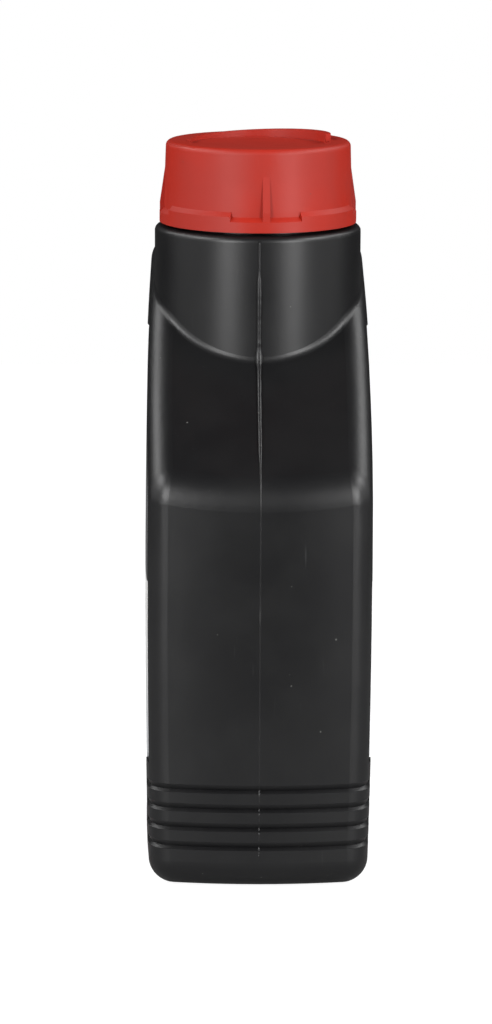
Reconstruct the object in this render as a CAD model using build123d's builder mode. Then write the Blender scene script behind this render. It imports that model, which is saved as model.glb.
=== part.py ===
from build123d import *
from math import asin, cos, degrees, hypot, radians, sin, sqrt
import os

# A flat one-litre motor oil bottle, blow moulded, with a screw cap.
# Millimetres. +Z is up, X runs through the thickness, Y runs along the long side.
# The origin is under the middle of the bottle, on the surface it stands on.
# The neck is offset towards +Y, and a long sloping shoulder falls away towards -Y.

# ---- body of the bottle ----
body_length = 108.0        # from the narrow -Y face to the narrow +Y face
half_thickness = 34.8      # at the fullest height, in the middle of the long side
fullest_z = 85.0           # height where the long sides bulge most
side_height_radius = 3200.0    # curve of a long side seen from the end
side_plan_radius = 1045.0      # curve of a long side seen from above
end_plan_radius = 150.0        # curve of a narrow side seen from above
wall = 0.95

crease_z = 121.6           # where the narrow side turns into the sloping shoulder
far_shoulder_z = 166.0     # where the far narrow side turns into its shoulder
ridge_end_gap = 15.0       # from the far narrow side to the ridge between the shoulders
ridge_rise = 0.7           # the ridge, before it is rounded, above the turret's top
crease_round = 12.0
ridge_round = 12.0
far_round = 14.0
base_round = 8.8
edge_round = 8.0
foot_inset = 12.0          # the base is pushed up inside this margin
push_up = 2.0
dish_taper = 25.0          # degrees

# ---- round turret and neck finish ----
neck_end_gap = 34.0        # from the far narrow side to the neck's axis
neck_radius = 25.0
neck_wall = 2.4
turret_ledge = 6.7         # from the neck out to the side of the turret
turret_top_z = 191.1
turret_edge_round = 1.8
bib_round = 2.5            # soft inside corner where the turret meets the shoulders
retaining_bead_height = 0.9    # the bead that the cap's lower band snaps over
retaining_bead_rise = 3.5      # its middle above the cap's lower edge

# ---- grip grooves round the narrow sides ----
groove_sink = 1.0          # how deep a groove is
groove_upper = 1.8         # the long upper flank, from the deepest line up
groove_lower = 0.8         # the short lower flank
groove_pitch = 5.87
groove_count = 4
lowest_groove_z = 13.4
groove_run = 13.0          # how far a groove runs from the narrow side along the long one

# ---- label panels on the long sides ----
panel_depth = 0.55
panel_margin = 3.5         # from the edges of the narrow sides and shoulders
panel_top_gap = 4.5        # below the far shoulder
panel_low_gap = 7.0        # above the deepest line of the top groove
panel_foot_z = 12.0        # lower edge between the ends of the grooves
panel_groove_gap = 4.0     # from the ends of the grooves
panel_corner_round = 4.0
label_film = 0.12
label_margin = 1.2
label_edge = 7.8           # from the narrow sides, clear of the rounded corners

# ---- screw thread ----
thread_pitch = 6.0
thread_height = 1.15       # how far a thread stands out
thread_foot = 2.4          # width of a thread at its foot
thread_crest = 1.0
thread_turns = 1.5
thread_rise = 1.5          # lower end of the neck's thread above the cap's lower band
thread_gap = 0.4           # free play between the two threads
thread_side_gap = 0.15     # between a thread's crest and the wall it faces
thread_root = 0.3          # how deep a thread is bedded in its own wall

# ---- cap ----
cap_gap = 1.0              # between the turret's top and the cap's lower edge
cap_wall = 2.0
cap_taper = 0.6            # how much wider the cap is above its lower band than at the top
cap_edge_round = 1.7
flange_reach = 1.35        # how far the lower band stands out
flange_height = 6.0
flange_bevel = 1.3
flange_dip = 1.5           # the flange is lower on both sides of each gusset
flange_dip_half_angle = 21.0
gusset_count = 4
gusset_angle = 3.9         # the first gusset is turned this far from -Y towards +X
gusset_drop = 6.5          # from the cap's top edge down to the top of a gusset
gusset_width = 2.2
gusset_reach = 0.1         # how far a gusset stops short of the flange's rim
gusset_root = 1.0          # how deep a gusset is bedded in the cap's wall
band_clearance = 0.5       # round the retaining bead
dial_rim = 6.1             # from the sunken disc in the top to the cap's side
dial_depth = 1.2
top_plate = 1.7
ramp_width = 1.6           # the raised rim that climbs round the back half of the disc
ramp_rise = 2.0
liner_thickness = 1.3
liner_side_gap = 0.3

# ---- helpers for cutting and joining ----
beyond = 1.25              # blanks and cutters are this much larger than what they shape
spare = 6.0                # how far the side outline runs on past the narrow sides
edge_search = 10.0         # how closely an edge's height is matched when it is rounded
sliver = 0.01              # overlap where two faces would otherwise only touch

# ---- worked out from the sizes above ----
half_length = body_length / 2
neck_y = half_length - neck_end_gap
ridge_y = half_length - ridge_end_gap
turret_radius = neck_radius + turret_ledge
bore_radius = neck_radius - neck_wall
peak_z = turret_top_z + ridge_rise
shoulder_slope = (peak_z - crease_z) / (ridge_y + half_length)
far_slope = (peak_z - far_shoulder_z) / ridge_end_gap

groove_heights = [lowest_groove_z + groove_pitch * i for i in range(groove_count)]
groove_end_y = half_length - groove_run
panel_top_z = far_shoulder_z - panel_top_gap
panel_low_z = groove_heights[-1] + panel_low_gap
panel_foot_half = groove_end_y - panel_groove_gap

cap_bottom_z = turret_top_z + cap_gap
flange_top_z = cap_bottom_z + flange_height
retaining_bead_z = cap_bottom_z + retaining_bead_rise
thread_start_z = flange_top_z + thread_rise
cap_thread_start_z = thread_start_z + thread_pitch / 2 - thread_gap
neck_top_z = cap_thread_start_z + thread_pitch * thread_turns + thread_foot / 2 + thread_gap
ceiling_z = neck_top_z + liner_thickness
dial_z = ceiling_z + top_plate
cap_top_z = dial_z + dial_depth
gusset_top_z = cap_top_z - gusset_drop

cap_bore = neck_radius + thread_height + thread_side_gap
band_radius = neck_radius + retaining_bead_height + band_clearance
cap_head_radius = cap_bore + cap_wall
cap_foot_radius = cap_head_radius + cap_taper
flange_radius = cap_foot_radius + flange_reach
dial_radius = cap_head_radius - dial_rim


def long_side(reach):
    """Everything inside the curved +X side whose fullest point is at x = reach."""
    overhang = half_length * beyond
    sag = side_plan_radius - sqrt(side_plan_radius**2 - overhang**2)
    depth = 3 * half_thickness
    swing = degrees(asin(beyond * turret_top_z / side_height_radius))
    centre = Plane(origin=(reach - side_height_radius, 0, fullest_z)).rotated((0, swing, 0))
    with BuildPart() as side:
        with BuildSketch(centre):
            with BuildLine():
                ThreePointArc(
                    (side_height_radius - sag, -overhang),
                    (side_height_radius, 0),
                    (side_height_radius - sag, overhang),
                )
                Polyline(
                    (side_height_radius - sag, overhang),
                    (side_height_radius - depth, overhang),
                    (side_height_radius - depth, -overhang),
                    (side_height_radius - sag, -overhang),
                )
            make_face()
        revolve(axis=Axis(centre.origin, (0, -1, 0)), revolution_arc=2 * swing)
    return side.part


def shoulder_outline(margin=0.0):
    """Side view of the body, run out past the narrow ends, which cut it to length."""
    with BuildSketch() as outline:
        with BuildLine():
            Polyline(
                (-half_length - spare, 0),
                (-half_length - spare, crease_z - shoulder_slope * spare),
                (ridge_y, peak_z),
                (half_length + spare, far_shoulder_z - far_slope * spare),
                (half_length + spare, 0),
                close=True,
            )
        make_face()
        if margin:
            offset(amount=-margin, kind=Kind.INTERSECTION, mode=Mode.REPLACE)
    return outline.sketch


def body_form(inset=0.0, side_inset=0.0):
    """The rounded body without its neck, taken in by inset all round."""
    side = long_side(half_thickness - inset - side_inset)
    outline = shoulder_outline(inset)
    end_radius = end_plan_radius - inset
    with BuildPart() as form:
        with BuildSketch(Plane.YZ):
            add(outline)
        extrude(amount=half_thickness * beyond, both=True)
        add(side, mode=Mode.INTERSECT)
        add(side.mirror(Plane.YZ), mode=Mode.INTERSECT)
        for end in (-1, 1):
            with BuildSketch():
                with Locations((0, end * (half_length - inset - end_radius))):
                    Circle(end_radius)
            extrude(amount=peak_z, mode=Mode.INTERSECT)

        def across(height, end=0):
            """Edges that run across the thickness at a height, at one end or at both."""
            return [
                edge
                for edge in form.edges()
                if edge.bounding_box().size.X > half_thickness
                and abs(edge.center().Z - height) < edge_search
                and edge.center().Y * end >= 0
            ]

        fillet(across(crease_z, -1), crease_round - inset)
        fillet(across(far_shoulder_z, 1), far_round - inset)
        fillet(across(peak_z), ridge_round - inset)
        fillet(across(inset), base_round - inset)
        long_edges = [e for e in form.edges() if abs(e.center().X) > half_thickness / 2]
        fillet(long_edges, edge_round - inset)
    return form.part


def turret(radius, top_z, edge):
    """The round tower under the cap, from inside the body up to top_z."""
    with BuildPart() as tower:
        with BuildSketch(Plane.XY.offset(crease_z)):
            with Locations((0, neck_y)):
                Circle(radius)
        extrude(amount=top_z - crease_z)
        fillet(tower.edges().group_by(Axis.Z)[-1], edge)
    return tower.part


def plan_outline(height, margin):
    """The body seen from above at a height, grown by margin."""
    drop = side_height_radius - sqrt(side_height_radius**2 - (fullest_z - height) ** 2)
    reach = half_thickness - drop
    with BuildSketch() as plan:
        Rectangle(3 * half_thickness, body_length + half_thickness)
        for way in (-1, 1):
            with Locations((0, way * (half_length - end_plan_radius))):
                Circle(end_plan_radius + margin, mode=Mode.INTERSECT)
            with Locations((way * (reach - side_plan_radius), 0)):
                Circle(side_plan_radius + margin, mode=Mode.INTERSECT)
        fillet(plan.vertices(), edge_round + margin)
    return plan.sketch


def groove(height, depth):
    """Both ends of one groove: all that lies outside a waist of the given depth."""
    flare = 1.3    # both flanks run on past the surface
    deepest = plan_outline(height, -depth)
    outside = plan_outline(height, flare * groove_sink - depth)
    with BuildPart() as cutter:
        with BuildSketch(Plane.XY.offset(height - flare * groove_lower)):
            Rectangle(3 * half_thickness, body_length + half_thickness)
            Rectangle(3 * half_thickness, 2 * groove_end_y, mode=Mode.SUBTRACT)
        extrude(amount=flare * (groove_lower + groove_upper))
        for flank in (flare * groove_upper, -flare * groove_lower):
            with BuildSketch(Plane.XY.offset(height)):
                add(deepest)
            with BuildSketch(Plane.XY.offset(height + flank)):
                add(outside)
            loft(ruled=True, mode=Mode.SUBTRACT)
    return cutter.part


def groove_rib(height):
    """The square rib that a groove leaves on the inside, at both ends."""
    core = plan_outline(height, -groove_sink - wall)
    with BuildPart() as rib:
        with BuildSketch(Plane.XY.offset(height - groove_lower)):
            Rectangle(3 * half_thickness, body_length + half_thickness)
            Rectangle(3 * half_thickness, 2 * (groove_end_y - wall), mode=Mode.SUBTRACT)
            add(core, mode=Mode.SUBTRACT)
        extrude(amount=groove_lower + groove_upper)
    return rib.part


def base_dish(margin):
    """The push-up under the base, grown by margin."""
    with BuildPart() as dish:
        with BuildSketch():
            RectangleRounded(
                2 * (half_thickness - foot_inset + margin),
                2 * (half_length - foot_inset + margin),
                base_round,
            )
        extrude(amount=push_up + margin, taper=dish_taper)
    return dish.part


def panel_outline(edge, top_z, low_z, foot_z, foot_half, corner):
    """Side view of a label panel: full width above, narrower between the grooves."""
    outline = shoulder_outline(edge)
    with BuildSketch() as panel:
        add(outline)
        with Locations((0, (top_z + low_z) / 2)):
            Rectangle(body_length - 2 * edge, top_z - low_z, mode=Mode.INTERSECT)
        with Locations((0, foot_z)):
            Rectangle(2 * foot_half, low_z - foot_z + corner, align=(Align.CENTER, Align.MIN))
        fillet(panel.vertices(), corner)
    return panel.sketch


def label(way):
    """A printed film on the panel of the +X (way = 1) or -X (way = -1) side."""
    outline = panel_outline(
        label_edge,
        panel_top_z - label_margin,
        panel_low_z + label_margin,
        panel_foot_z + label_margin,
        panel_foot_half - label_margin,
        panel_corner_round - label_margin,
    )
    panel_reach = half_thickness - panel_depth
    under = long_side(panel_reach)
    over = long_side(panel_reach + label_film)
    with BuildPart() as film:
        with BuildSketch(Plane.YZ):
            add(outline)
        extrude(amount=half_thickness * beyond)
        add(over, mode=Mode.INTERSECT)
        add(under, mode=Mode.SUBTRACT)
        if way < 0:
            mirror(about=Plane.YZ, mode=Mode.REPLACE)
    return film


def thread(radius, outwards, start_z):
    """One helical ridge standing on a wall of the given radius."""
    way = 1 if outwards else -1
    root = radius - way * thread_root
    crest = radius + way * thread_height
    with BuildPart() as ridge:
        with BuildLine() as rise:
            Helix(
                pitch=thread_pitch,
                height=thread_pitch * thread_turns,
                radius=radius,
                center=(0, neck_y, start_z),
            )
        with BuildSketch(Plane((0, neck_y, start_z), x_dir=(1, 0, 0), z_dir=(0, -1, 0))):
            with BuildLine():
                Polyline(
                    (root, -thread_foot / 2),
                    (crest, -thread_crest / 2),
                    (crest, thread_crest / 2),
                    (root, thread_foot / 2),
                    close=True,
                )
            make_face()
        sweep(path=rise.line, is_frenet=True)
    return ridge.part


# ---- bottle: one hollow blow moulding ----
outer_form = body_form()
inner_form = body_form(wall, panel_depth)
outer_turret = turret(turret_radius, turret_top_z, turret_edge_round)
inner_turret = turret(turret_radius - wall, turret_top_z - wall, turret_edge_round)
neck_thread = thread(neck_radius, True, thread_start_z)
grooves = [groove(z, groove_sink) for z in groove_heights]
groove_ribs = [groove_rib(z) for z in groove_heights]
dish_outside = base_dish(0)
dish_inside = base_dish(wall)
panel = panel_outline(
    panel_margin, panel_top_z, panel_low_z, panel_foot_z, panel_foot_half, panel_corner_round
)
panel_floor = long_side(half_thickness - panel_depth)

with BuildPart() as recess:
    with BuildSketch(Plane.YZ):
        add(panel)
    extrude(amount=half_thickness * beyond)
    add(panel_floor, mode=Mode.SUBTRACT)
    mirror(about=Plane.YZ)

with BuildPart() as cavity:
    add(inner_form)
    add(groove_ribs, mode=Mode.SUBTRACT)
    add(dish_inside, mode=Mode.SUBTRACT)
    add(inner_turret)
    with BuildSketch(Plane.XY.offset(crease_z)):
        with Locations((0, neck_y)):
            Circle(bore_radius)
    extrude(amount=neck_top_z - crease_z)

print(f"brimful capacity {cavity.part.volume / 1e6:.3f} litres")

with BuildPart() as bottle:
    add(outer_form)
    add(grooves, mode=Mode.SUBTRACT)
    add(dish_outside, mode=Mode.SUBTRACT)
    add(recess.part, mode=Mode.SUBTRACT)
    add(outer_turret)
    bib = [
        edge
        for edge in bottle.edges().filter_by(GeomType.LINE, reverse=True)
        if edge.bounding_box().max.Z < turret_top_z - turret_edge_round - 1
        and all(
            abs(hypot((edge @ t).X, (edge @ t).Y - neck_y) - turret_radius) < 0.01
            for t in (0, 0.5, 1)
        )
    ]
    fillet(bib, bib_round)
    with BuildSketch(Plane.XY.offset(turret_top_z - wall)):
        with Locations((0, neck_y)):
            Circle(neck_radius)
    extrude(amount=neck_top_z - turret_top_z + wall)
    with BuildSketch(Plane((0, neck_y, retaining_bead_z), x_dir=(1, 0, 0), z_dir=(0, -1, 0))):
        with Locations((neck_radius, 0)):
            Circle(retaining_bead_height)
    revolve(axis=Axis((0, neck_y, 0), (0, 0, 1)))
    add(neck_thread)
    add(cavity.part, mode=Mode.SUBTRACT)

bottle.part.label = "bottle"

# ---- cap: one moulding with its lower band and gussets ----
cap_axis = Axis((0, neck_y, 0), (0, 0, 1))
cap_plane = Plane((0, neck_y, 0), x_dir=(1, 0, 0), z_dir=(0, -1, 0))
cap_thread = thread(cap_bore, False, cap_thread_start_z)

# The flange is cut lower on both sides of each gusset, down to the foot of the cap's wall.
gusset_angles = [gusset_angle - 90 + i * 360 / gusset_count for i in range(gusset_count)]
dip_z = flange_top_z - flange_dip


def around_cap(angle):
    """A plane through the cap's axis, with its X pointing outwards at an angle."""
    outwards = Vector(cos(radians(angle)), sin(radians(angle)), 0)
    return Plane((0, neck_y, 0), x_dir=outwards, z_dir=outwards.cross(Vector(0, 0, 1)))


flange_dips = []
gussets = []
for angle in gusset_angles:
    with BuildPart() as flange_cut:
        with BuildSketch(around_cap(angle + flange_dip_half_angle)):
            with BuildLine():
                Polyline(
                    (flange_radius + flange_reach, dip_z - 2 * flange_bevel),
                    (cap_foot_radius, dip_z),
                    (cap_foot_radius, flange_top_z + sliver),
                    (flange_radius + flange_reach, flange_top_z + sliver),
                    close=True,
                )
            make_face()
        revolve(axis=cap_axis, revolution_arc=-2 * flange_dip_half_angle)
    flange_dips.append(flange_cut.part)
    with BuildPart() as gusset:
        with BuildSketch(around_cap(angle)):
            with BuildLine():
                Polyline(
                    (cap_head_radius - gusset_root, gusset_top_z),
                    (cap_head_radius, gusset_top_z),
                    (flange_radius - gusset_reach, flange_top_z),
                    (flange_radius - gusset_reach, dip_z - flange_bevel),
                    (cap_head_radius - gusset_root, dip_z - flange_bevel),
                    close=True,
                )
            make_face()
        extrude(amount=gusset_width / 2, both=True)
    gussets.append(gusset.part)

# The raised rim climbs along the back half of the sunken disc and ends in a step.
with BuildPart() as ramp:
    with BuildSketch(Plane.XY.offset(dial_z)):
        with Locations((0, neck_y)):
            Circle(dial_radius + sliver)
            Circle(dial_radius - ramp_width, mode=Mode.SUBTRACT)
            with Locations((0, dial_radius)):
                Rectangle(2 * beyond * dial_radius, 2 * dial_radius, mode=Mode.INTERSECT)
    extrude(amount=dial_depth + ramp_rise)
    with BuildSketch(Plane.XZ.offset(-neck_y - half_length)):
        with BuildLine():
            Polyline(
                (-dial_radius - sliver, cap_top_z),
                (dial_radius + sliver, cap_top_z + ramp_rise),
                (dial_radius + sliver, cap_top_z + 2 * ramp_rise),
                (-dial_radius - sliver, cap_top_z + 2 * ramp_rise),
                close=True,
            )
        make_face()
    extrude(amount=2 * half_length, mode=Mode.SUBTRACT)

with BuildPart() as cap:
    with BuildSketch(cap_plane):
        with BuildLine():
            Polyline(
                (0, ceiling_z),
                (cap_bore, ceiling_z),
                (cap_bore, flange_top_z + 1),
                (band_radius, flange_top_z),
                (band_radius, cap_bottom_z),
                (flange_radius, cap_bottom_z),
                (flange_radius, flange_top_z - flange_bevel),
                (cap_foot_radius, flange_top_z),
                (cap_head_radius, cap_top_z),
                (dial_radius, cap_top_z),
                (dial_radius, dial_z),
                (0, dial_z),
                close=True,
            )
        make_face()
    revolve(axis=cap_axis)
    rims = cap.edges().filter_by(GeomType.CIRCLE).filter_by_position(Axis.Z, cap_top_z, cap_top_z)
    fillet(rims.sort_by(SortBy.RADIUS)[-1], cap_edge_round)
    add(flange_dips, mode=Mode.SUBTRACT)
    add(gussets)
    add(ramp.part)
    add(cap_thread)

cap.part.label = "cap"

# ---- sealing wad inside the cap ----
with BuildPart() as cap_liner:
    with BuildSketch(Plane.XY.offset(neck_top_z)):
        with Locations((0, neck_y)):
            Circle(cap_bore - liner_side_gap)
    extrude(amount=liner_thickness)

cap_liner.part.label = "cap_liner"

# ---- labels ----
front_label = label(1)
front_label.part.label = "front_label"
back_label = label(-1)
back_label.part.label = "back_label"

os.makedirs("parts", exist_ok=True)
for piece in (bottle, cap, cap_liner, front_label, back_label):
    export_step(piece.part, f"parts/{piece.part.label}.step")
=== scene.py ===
import math
import random

import bpy
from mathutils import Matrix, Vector
from mathutils.bvhtree import BVHTree


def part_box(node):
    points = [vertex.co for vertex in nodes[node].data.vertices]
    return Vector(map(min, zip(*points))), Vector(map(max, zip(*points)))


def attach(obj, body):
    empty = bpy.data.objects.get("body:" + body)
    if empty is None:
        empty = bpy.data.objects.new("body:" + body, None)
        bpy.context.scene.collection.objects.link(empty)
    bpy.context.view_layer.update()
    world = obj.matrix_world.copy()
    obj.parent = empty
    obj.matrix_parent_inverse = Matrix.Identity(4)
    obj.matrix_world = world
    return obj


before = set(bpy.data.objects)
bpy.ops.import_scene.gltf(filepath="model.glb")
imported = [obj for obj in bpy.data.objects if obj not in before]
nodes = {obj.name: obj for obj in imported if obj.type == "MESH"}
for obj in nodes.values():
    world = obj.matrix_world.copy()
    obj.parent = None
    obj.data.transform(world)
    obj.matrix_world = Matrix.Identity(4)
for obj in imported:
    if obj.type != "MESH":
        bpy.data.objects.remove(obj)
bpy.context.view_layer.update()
mm = 0.001

capLow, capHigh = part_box("cap")
neckY = (capLow.y + capHigh.y) / 2


# ---------- node helpers ----------

def makeMaterial(name):
    material = bpy.data.materials.new(name)
    material.use_nodes = True
    tree = material.node_tree
    return material, tree, tree.nodes["Principled BSDF"]


def addNode(tree, kind, values=None, links=None, **settings):
    # one node with its sockets set from values and fed from links
    node = tree.nodes.new(kind)
    for key, value in settings.items():
        setattr(node, key, value)
    for key, value in (values or {}).items():
        node.inputs[key].default_value = value
    for key, source in (links or {}).items():
        tree.links.new(source, node.inputs[key])
    return node


def maths(tree, operation, first, second=None, third=None, clamp=False):
    node = tree.nodes.new("ShaderNodeMath")
    node.operation = operation
    node.use_clamp = clamp
    for index, item in enumerate((first, second, third)):
        if item is None:
            continue
        if isinstance(item, (int, float)):
            node.inputs[index].default_value = item
        else:
            tree.links.new(item, node.inputs[index])
    return node.outputs[0]


def mixColour(tree, factor, first, second):
    node = tree.nodes.new("ShaderNodeMix")
    node.data_type = "RGBA"
    for socket, item in ((node.inputs[0], factor), (node.inputs[6], first), (node.inputs[7], second)):
        if isinstance(item, (int, float)):
            socket.default_value = item
        elif isinstance(item, tuple):
            socket.default_value = (*item, 1.0)
        else:
            tree.links.new(item, socket)
    return node.outputs[2]


def rangeOf(tree, value, fromLow, fromHigh, toLow=0.0, toHigh=1.0):
    node = addNode(
        tree, "ShaderNodeMapRange",
        {"From Min": fromLow, "From Max": fromHigh, "To Min": toLow, "To Max": toHigh},
        {"Value": value}, interpolation_type="SMOOTHSTEP",
    )
    return node.outputs["Result"]


def makeGroup(name, inputs, outputs):
    group = bpy.data.node_groups.new(name, "ShaderNodeTree")
    for label, default in inputs.items():
        socket = group.interface.new_socket(label, in_out="INPUT", socket_type="NodeSocketFloat")
        socket.default_value = default
    for label, kind in outputs.items():
        group.interface.new_socket(label, in_out="OUTPUT", socket_type=kind)
    return group, group.nodes.new("NodeGroupInput"), group.nodes.new("NodeGroupOutput")


def useGroup(tree, group, **values):
    node = tree.nodes.new("ShaderNodeGroup")
    node.node_tree = group
    for label, value in values.items():
        node.inputs[label].default_value = value
    return node


# ---------- shared effects ----------

skinLook = {
    "grainShare": 0.12,       # the grain's part of the height
    "patchPerMetre": 38.0,
    "patchEdges": (0.35, 0.65),
}


def buildMouldedSkin():
    # the satin grain of a moulded surface and the slow ripples under it
    group, given, out = makeGroup(
        "mouldedSkin",
        {"grainPerMetre": 4000.0, "ripplePerMetre": 90.0, "rippleShare": 0.5},
        {"height": "NodeSocketFloat", "patch": "NodeSocketFloat"},
    )
    place = addNode(group, "ShaderNodeTexCoord").outputs["Object"]
    grain = addNode(group, "ShaderNodeTexNoise", {"Detail": 3.0, "Roughness": 0.6},
                    {"Vector": place, "Scale": given.outputs["grainPerMetre"]})
    ripple = addNode(group, "ShaderNodeTexNoise", {"Detail": 1.5, "Roughness": 0.4},
                     {"Vector": place, "Scale": given.outputs["ripplePerMetre"]})
    patch = addNode(group, "ShaderNodeTexNoise",
                    {"Scale": skinLook["patchPerMetre"], "Detail": 4.0, "Roughness": 0.6}, {"Vector": place})
    slow = maths(group, "MULTIPLY", ripple.outputs["Fac"], given.outputs["rippleShare"])
    height = maths(group, "MULTIPLY_ADD", grain.outputs["Fac"], skinLook["grainShare"], slow)
    group.links.new(height, out.inputs["height"])
    group.links.new(rangeOf(group, patch.outputs["Fac"], *skinLook["patchEdges"]), out.inputs["patch"])
    return group


def buildDustSpecks():
    # sparse specks of dust and small nicks
    group, given, out = makeGroup(
        "dustSpecks", {"cellsPerMetre": 260.0, "speckSize": 0.09, "share": 0.25},
        {"mask": "NodeSocketFloat"},
    )
    place = addNode(group, "ShaderNodeTexCoord").outputs["Object"]
    cells = addNode(group, "ShaderNodeTexVoronoi", {"Randomness": 1.0},
                    {"Vector": place, "Scale": given.outputs["cellsPerMetre"]})
    pick = addNode(group, "ShaderNodeSeparateColor", links={"Color": cells.outputs["Color"]})
    near = maths(group, "LESS_THAN", cells.outputs["Distance"],
                 maths(group, "MULTIPLY", given.outputs["speckSize"], pick.outputs["Green"]))
    chosen = maths(group, "LESS_THAN", pick.outputs["Red"], given.outputs["share"])
    group.links.new(maths(group, "MULTIPLY", near, chosen), out.inputs["mask"])
    return group


scratchLook = {
    "families": ((0.12, (1400.0, 1400.0, 60.0)), (1.2, (900.0, 900.0, 45.0))),    # tilt and stretch
    "turn": 0.3,
    "edges": (0.70, 0.78),
    "patchPerMetre": 55.0,
    "patchEdges": (0.5, 0.68),
}


def buildFineScratches():
    # short hairline scuffs that mostly run up and down
    group, given, out = makeGroup(
        "fineScratches", {"amount": 0.3}, {"mask": "NodeSocketFloat"},
    )
    place = addNode(group, "ShaderNodeTexCoord").outputs["Object"]
    masks = []
    for tilt, stretch in scratchLook["families"]:
        turns = (tilt, tilt / 2, scratchLook["turn"])
        turned = addNode(group, "ShaderNodeMapping", {"Rotation": turns, "Scale": stretch}, {"Vector": place})
        lines = addNode(group, "ShaderNodeTexNoise", {"Scale": 1.0, "Detail": 2.0},
                        {"Vector": turned.outputs["Vector"]})
        masks.append(rangeOf(group, lines.outputs["Fac"], *scratchLook["edges"]))
    where = addNode(group, "ShaderNodeTexNoise", {"Scale": scratchLook["patchPerMetre"], "Detail": 2.0},
                    {"Vector": place})
    patches = rangeOf(group, where.outputs["Fac"], *scratchLook["patchEdges"])
    both = maths(group, "MAXIMUM", masks[0], masks[1])
    worn = maths(group, "MULTIPLY", both, patches)
    group.links.new(maths(group, "MULTIPLY", worn, given.outputs["amount"]), out.inputs["mask"])
    return group


mouldedSkin = buildMouldedSkin()
dustSpecks = buildDustSpecks()
fineScratches = buildFineScratches()
print("shared effects built")


# ---------- materials ----------

noSpecks = {"cellsPerMetre": 200.0, "speckSize": 0.0, "share": 0.0}

blackPlasticLook = {
    "colour": (0.0026, 0.0026, 0.0031),
    "patchColour": (0.0034, 0.0034, 0.0038),
    "scuffColour": (0.03, 0.03, 0.03),
    "dust": (0.09, 0.09, 0.085),
    "skin": {"grainPerMetre": 1900.0, "ripplePerMetre": 60.0, "rippleShare": 0.35},
    "specks": {"cellsPerMetre": 230.0, "speckSize": 0.07, "share": 0.2},
    "scuffs": 0.5,
    "roughness": 0.38,
    "roughnessSpread": 0.03,
    "dustRoughness": 0.4,
    "scuffRoughness": 0.2,
    "bump": 0.00012,
    "ior": 1.5,
}

redPlasticLook = {
    "colour": (0.345, 0.0125, 0.0035),
    "patchColour": (0.31, 0.014, 0.006),
    "scuffColour": (0.40, 0.09, 0.07),
    "dust": (0.2, 0.03, 0.02),
    "skin": {"grainPerMetre": 900.0, "ripplePerMetre": 120.0, "rippleShare": 0.4},
    "specks": {"cellsPerMetre": 260.0, "speckSize": 0.07, "share": 0.14},
    "scuffs": 0.45,
    "roughness": 0.48,
    "roughnessSpread": 0.06,
    "dustRoughness": 0.0,
    "scuffRoughness": 0.2,
    "bump": 0.0002,
    "ior": 1.42,
}

linerFoamLook = {
    "colour": (0.74, 0.73, 0.69),
    "patchColour": (0.82, 0.81, 0.78),
    "scuffColour": (0.7, 0.7, 0.66),
    "dust": (0.5, 0.5, 0.5),
    "skin": {"grainPerMetre": 1500.0, "ripplePerMetre": 300.0, "rippleShare": 0.6},
    "specks": noSpecks,
    "scuffs": 0.0,
    "roughness": 0.6,
    "roughnessSpread": 0.1,
    "dustRoughness": 0.0,
    "scuffRoughness": 0.0,
    "bump": 0.0001,
    "ior": 1.5,
}

labelFilmLook = {
    "scuffColour": (0.6, 0.6, 0.6),
    "dust": (0.5, 0.5, 0.5),
    "skin": {"grainPerMetre": 2500.0, "ripplePerMetre": 60.0, "rippleShare": 0.5},
    "specks": noSpecks,
    "scuffs": 0.5,
    "roughness": 0.24,
    "roughnessSpread": 0.08,
    "dustRoughness": 0.0,
    "scuffRoughness": 0.25,
    "bump": 0.00004,
    "ior": 1.5,
}

# the label's print, in millimetres above the floor and along the broad side
printLook = {
    "paper": (0.78, 0.78, 0.77),
    "silver": (0.52, 0.53, 0.55),
    "red": (0.55, 0.02, 0.03),
    "dark": (0.012, 0.012, 0.014),
    "crisp": 0.25,
    "fade": (34.0, 90.0),     # silver below, paper above
    "band": (14.0, 30.0),
    "fieldFoot": 94.0,
    "sweep": 0.22,            # how much the dark field's edge climbs along the label
    "bow": 0.0045,            # and how much it curves
    "badge": (6.0, 62.0),
    "badgeRadius": 15.0,
    "badgeInside": 12.6,
}


def plastic(name, look, paint=None):
    # a moulded surface with its grain, dust and scuffs, plain or printed
    material, tree, shader = makeMaterial(name)
    skin = useGroup(tree, mouldedSkin, **look["skin"])
    patch = skin.outputs["patch"]
    speck = useGroup(tree, dustSpecks, **look["specks"]).outputs["mask"]
    scuff = useGroup(tree, fineScratches, amount=look["scuffs"]).outputs["mask"]
    ground = paint(tree) if paint else mixColour(tree, patch, look["colour"], look["patchColour"])
    scuffed = mixColour(tree, scuff, ground, look["scuffColour"])
    tree.links.new(mixColour(tree, speck, scuffed, look["dust"]), shader.inputs["Base Color"])
    rough = maths(tree, "MULTIPLY_ADD", patch, look["roughnessSpread"], look["roughness"])
    rough = maths(tree, "MULTIPLY_ADD", speck, look["dustRoughness"], rough)
    rough = maths(tree, "MULTIPLY_ADD", scuff, look["scuffRoughness"], rough, clamp=True)
    tree.links.new(rough, shader.inputs["Roughness"])
    bump = addNode(tree, "ShaderNodeBump", {"Strength": 1.0, "Distance": look["bump"]},
                   {"Height": skin.outputs["height"]})
    tree.links.new(bump.outputs["Normal"], shader.inputs["Normal"])
    shader.inputs["IOR"].default_value = look["ior"]
    return material


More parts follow.
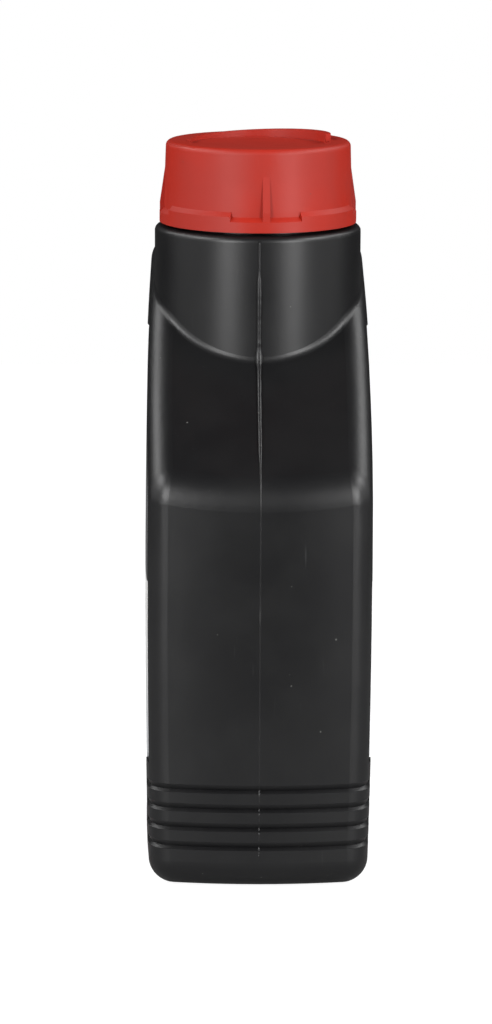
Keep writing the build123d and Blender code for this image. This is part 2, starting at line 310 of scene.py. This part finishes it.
def labelPrint(tree):
    look = printLook
    place = addNode(tree, "ShaderNodeTexCoord").outputs["Object"]
    axes = addNode(tree, "ShaderNodeSeparateXYZ", links={"Vector": place})
    along = maths(tree, "MULTIPLY", axes.outputs["Y"], 1 / mm)
    up = maths(tree, "MULTIPLY", axes.outputs["Z"], 1 / mm)

    def above(value, level):
        return rangeOf(tree, value, level - look["crisp"], level + look["crisp"])

    def within(value, level):
        return rangeOf(tree, value, level + look["crisp"], level - look["crisp"])

    def squared(value):
        return maths(tree, "MULTIPLY", value, value)

    ground = mixColour(tree, rangeOf(tree, up, *look["fade"]), look["silver"], look["paper"])
    foot, top = look["band"]
    band = maths(tree, "SUBTRACT", above(up, foot), above(up, top))
    withBand = mixColour(tree, band, ground, look["red"])
    # the dark field above has a curved lower edge
    bow = maths(tree, "MULTIPLY", squared(along), look["bow"])
    edge = maths(tree, "SUBTRACT", up, maths(tree, "MULTIPLY_ADD", along, look["sweep"], bow))
    withField = mixColour(tree, above(edge, look["fieldFoot"]), withBand, look["dark"])
    # a plain round badge on the pale ground
    middle, height = look["badge"]
    sideways = squared(maths(tree, "SUBTRACT", along, middle))
    upwards = squared(maths(tree, "SUBTRACT", up, height))
    far = maths(tree, "SQRT", maths(tree, "ADD", sideways, upwards))
    ring = mixColour(tree, within(far, look["badgeRadius"]), withField, look["dark"])
    return mixColour(tree, within(far, look["badgeInside"]), ring, look["silver"])


black = plastic("blackPlastic", blackPlasticLook)
film = plastic("labelFilm", labelFilmLook, labelPrint)
finishes = {
    "bottle": black,
    "cap": plastic("redPlastic", redPlasticLook),
    "cap_liner": plastic("linerFoam", linerFoamLook),
    "front_label": film,
    "back_label": film,
}
for name, material in finishes.items():
    piece = nodes[name]
    piece.data.materials.clear()
    piece.data.materials.append(material)
print("materials placed on the frame's pieces")


# ---------- parting line and pinch scar on the bottle ----------

# widths and heights of the bead are in millimetres, and so are the places up the bottle
seamLook = {
    "step": 0.6,              # between cross-sections
    "facets": 7,              # round each half-round section
    "sunk": 0.06,             # how far its edges lie under the surface
    "foot": 11.0,
    "belowCap": 2.2,          # where it stops under the cap
    "faint": (0.45, 0.04),    # width and height on the lower body
    "line": (0.55, 0.22),     # the fine line by the crease, and at the turret's top
    "lineFrom": (112.0, 122.0),
    "scar": (1.7, 0.8),       # the thick weld on the turret
    "scarNarrow": (1.25, 0.8),    # and on the shoulder
    "scarFrom": (127.5, 131.5),
    "turretFrom": (151.0, 158.0),
    "thinFrom": (176.0, 181.0),
    "thinShare": 0.75,
    "knot": (2.8, 1.2),       # where the shoulder meets the turret
    "knotHeight": 154.5,
    "knotReach": 1.8,
    "wander": (0.12, 0.20, 0.06),    # of the width, the height and the place
    "farFrom": (160.0, 168.0),
    "farFoot": (0.45, 0.08),
    "farGain": (0.8, 0.3),
}


def surfaceFinder():
    mesh = nodes["bottle"].data
    corners = [v.co.copy() for v in mesh.vertices]
    faces = [tuple(p.vertices) for p in mesh.polygons]
    return BVHTree.FromPolygons(corners, faces)


def tracePath(finder, way, lowZ, highZ):
    # the bottle's outline in the middle plane, seen from one narrow side
    points = []
    count = int((highZ - lowZ) / (seamLook["step"] * mm))
    for index in range(count + 1):
        z = lowZ + (highZ - lowZ) * index / count
        start = Vector((0.00001, -way * 0.2, z))
        hit = finder.ray_cast(start, Vector((0, way, 0)))[0]
        if hit is not None:
            points.append(Vector((0, hit.y, hit.z)))
    return points


def ribbon(name, points, profile, outwards):
    # a rounded bead laid along the points; profile gives its width and height
    facets = seamLook["facets"]
    ring = facets + 1
    corners, faces = [], []
    for index, point in enumerate(points):
        before = points[max(index - 2, 0)]
        after = points[min(index + 2, len(points) - 1)]
        along = (after - before).normalized()
        normal = Vector((1, 0, 0)).cross(along).normalized()
        if normal.dot(outwards) < 0:
            normal = -normal
        width, height, shift = profile(point, index)
        for facet in range(ring):
            angle = math.pi * facet / facets
            across = -math.cos(angle) * width / 2 * mm + shift * mm
            rise = (math.sin(angle) * (height + seamLook["sunk"]) - seamLook["sunk"]) * mm
            corners.append(point + Vector((across, 0, 0)) + normal * rise)
    for index in range(len(points) - 1):
        for facet in range(facets):
            first = index * ring + facet
            faces.append((first, first + 1, first + ring + 1, first + ring))
        here, there = index * ring, (index + 1) * ring
        faces.append((here + facets, here, there, there + facets))
    faces.append(tuple(range(ring)))
    last = (len(points) - 1) * ring
    faces.append(tuple(range(last + ring - 1, last - 1, -1)))
    mesh = bpy.data.meshes.new(name)
    mesh.from_pydata(corners, [], faces)
    mesh.validate()
    piece = bpy.data.objects.new(name, mesh)
    bpy.context.scene.collection.objects.link(piece)
    for polygon in mesh.polygons:
        polygon.use_smooth = len(polygon.vertices) == 4
    mesh.materials.append(black)
    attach(piece, "bottle_body")
    return piece


def blend(value, limits):
    low, high = limits
    share = min(max((value - low) / (high - low), 0), 1)
    return share * share * (3 - 2 * share)


def between(first, second, share):
    return [start + (end - start) * share for start, end in zip(first, second)]


def partingLines():
    look = seamLook
    finder = surfaceFinder()
    chance = random.Random(7)
    wobble = [chance.uniform(-1, 1) for _ in range(600)]

    def nearProfile(point, index):
        z = point.z / mm
        onScar = blend(z, look["scarFrom"])
        onLine = between(look["faint"], look["line"], blend(z, look["lineFrom"]))
        scar = between(look["scarNarrow"], look["scar"], blend(z, look["turretFrom"]))
        scar = between(scar, look["line"], look["thinShare"] * blend(z, look["thinFrom"]))
        knot = math.exp(-((z - look["knotHeight"]) / look["knotReach"]) ** 2) * onScar
        width, height = [
            low + (high - low) * onScar + (most - high) * knot
            for low, high, most in zip(onLine, scar, look["knot"])
        ]
        wander = (wobble[index // 2 % 600] + wobble[(index // 5 + 90) % 600]) / 2 * onScar
        ofWidth, ofHeight, ofPlace = look["wander"]
        return width * (1 + ofWidth * wander), height * (1 + ofHeight * wander), ofPlace * wander

    def farProfile(point, index):
        onShoulder = blend(point.z / mm, look["farFrom"])
        width, height = [
            foot + gain * onShoulder for foot, gain in zip(look["farFoot"], look["farGain"])
        ]
        return width, height, 0.0

    lowZ, highZ = look["foot"] * mm, capLow.z - look["belowCap"] * mm
    near = tracePath(finder, 1, lowZ, highZ)
    ribbon("parting_line_near", near, nearProfile, Vector((0, -1, 0.4)))
    far = tracePath(finder, -1, lowZ, highZ)
    ribbon("parting_line_far", far, farProfile, Vector((0, 1, 0.4)))
    print("parting lines:", len(near), "and", len(far), "sections")


partingLines()


# ---------- floor, light and camera --------------------

stageLook = {
    "front": -0.24,       # where the pale floor ends in front of the bottle
    "back": 0.9,
    "halfWidth": 0.42,
    "colour": (0.3, 0.3, 0.3),
    "lift": 0.88,         # evens the white that the camera sees, under the shadow
}


def paper(name, colour, lift):
    material, tree, shader = makeMaterial(name)
    shader.inputs["Base Color"].default_value = (*colour, 1)
    shader.inputs["Roughness"].default_value = 0.95
    shader.inputs["Specular IOR Level"].default_value = 0.0
    seen = addNode(tree, "ShaderNodeLightPath").outputs["Is Camera Ray"]
    tree.links.new(mixColour(tree, seen, (0, 0, 0), (lift, lift, lift)), shader.inputs["Emission Color"])
    shader.inputs["Emission Strength"].default_value = 1.0
    return material


def stageSheet(name, corners, material):
    mesh = bpy.data.meshes.new(name)
    mesh.from_pydata(corners, [], [(0, 1, 2, 3)])
    mesh.materials.append(material)
    sheet = bpy.data.objects.new(name, mesh)
    bpy.context.scene.collection.objects.link(sheet)


def buildStage():
    look = stageLook
    wide = look["halfWidth"]
    sides = ((-wide, look["front"]), (wide, look["front"]), (wide, look["back"]), (-wide, look["back"]))
    floor = [(x, y, 0) for x, y in sides]
    stageSheet("floor", floor, paper("floorPaper", look["colour"], look["lift"]))


lampLook = {
    # name: degrees round from the front towards +X, distance, height, width, tall, watts
    "leftKey": (-33.0, 1.15, 0.42, 0.30, 0.8, 10.6),
    "rightKey": (38.0, 1.15, 0.42, 0.30, 0.8, 11.0),
    "leftSide": (-82.0, 1.0, 0.33, 0.9, 0.64, 1.7),
    "rightSide": (82.0, 1.0, 0.33, 0.9, 0.64, 1.7),
    "leftHigh": (-75.0, 0.95, 0.95, 0.5, 0.5, 7.5),
    "rightHigh": (75.0, 0.95, 0.95, 0.5, 0.5, 7.5),
    "leftRim": (-118.0, 1.05, 0.92, 0.3, 0.5, 3.2),
    "rightRim": (118.0, 1.05, 0.92, 0.3, 0.5, 3.2),
}
lampAim = Vector((0, neckY, 0.13))


def buildLamps():
    for name, (angle, far, height, width, tall, watts) in lampLook.items():
        light = bpy.data.lights.new(name, "AREA")
        light.shape = "RECTANGLE"
        light.size = width
        light.size_y = tall
        light.energy = watts
        lamp = bpy.data.objects.new(name, light)
        bpy.context.scene.collection.objects.link(lamp)
        turn = math.radians(angle)
        lamp.location = (far * math.sin(turn), neckY - far * math.cos(turn), height)
        lamp.rotation_euler = (lampAim - lamp.location).to_track_quat("-Z", "Y").to_euler()
    world = bpy.data.worlds.new("dimRoom")
    bpy.context.scene.world = world
    world.use_nodes = True
    tree = world.node_tree
    seen = addNode(tree, "ShaderNodeLightPath").outputs["Is Camera Ray"]
    room = mixColour(tree, seen, (0.03, 0.03, 0.03), (1.0, 1.0, 1.0))
    tree.links.new(room, tree.nodes["Background"].inputs["Color"])


cameraLook = {
    "distance": 1.15,     # from the neck's axis, along Y
    "height": 0.339,
    "swing": -1.1,        # degrees round the neck, towards -X
    "pan": -0.88,
    "pitch": 11.714,
    "roll": -0.3,
    "lens": 132.1,
}


def buildCamera():
    look = cameraLook
    camera = bpy.data.objects.new("camera", bpy.data.cameras.new("camera"))
    bpy.context.scene.collection.objects.link(camera)
    camera.data.lens = look["lens"]
    camera.data.sensor_width = 36
    swing = math.radians(look["swing"])
    camera.location = (look["distance"] * math.sin(swing), neckY - look["distance"], look["height"])
    turns = (90 - look["pitch"], look["roll"], look["pan"])
    camera.rotation_euler = [math.radians(turn) for turn in turns]
    bpy.context.scene.camera = camera


buildStage()
buildLamps()
buildCamera()
bpy.context.scene.view_settings.view_transform = "Standard"
print("stage, lamps and camera set")
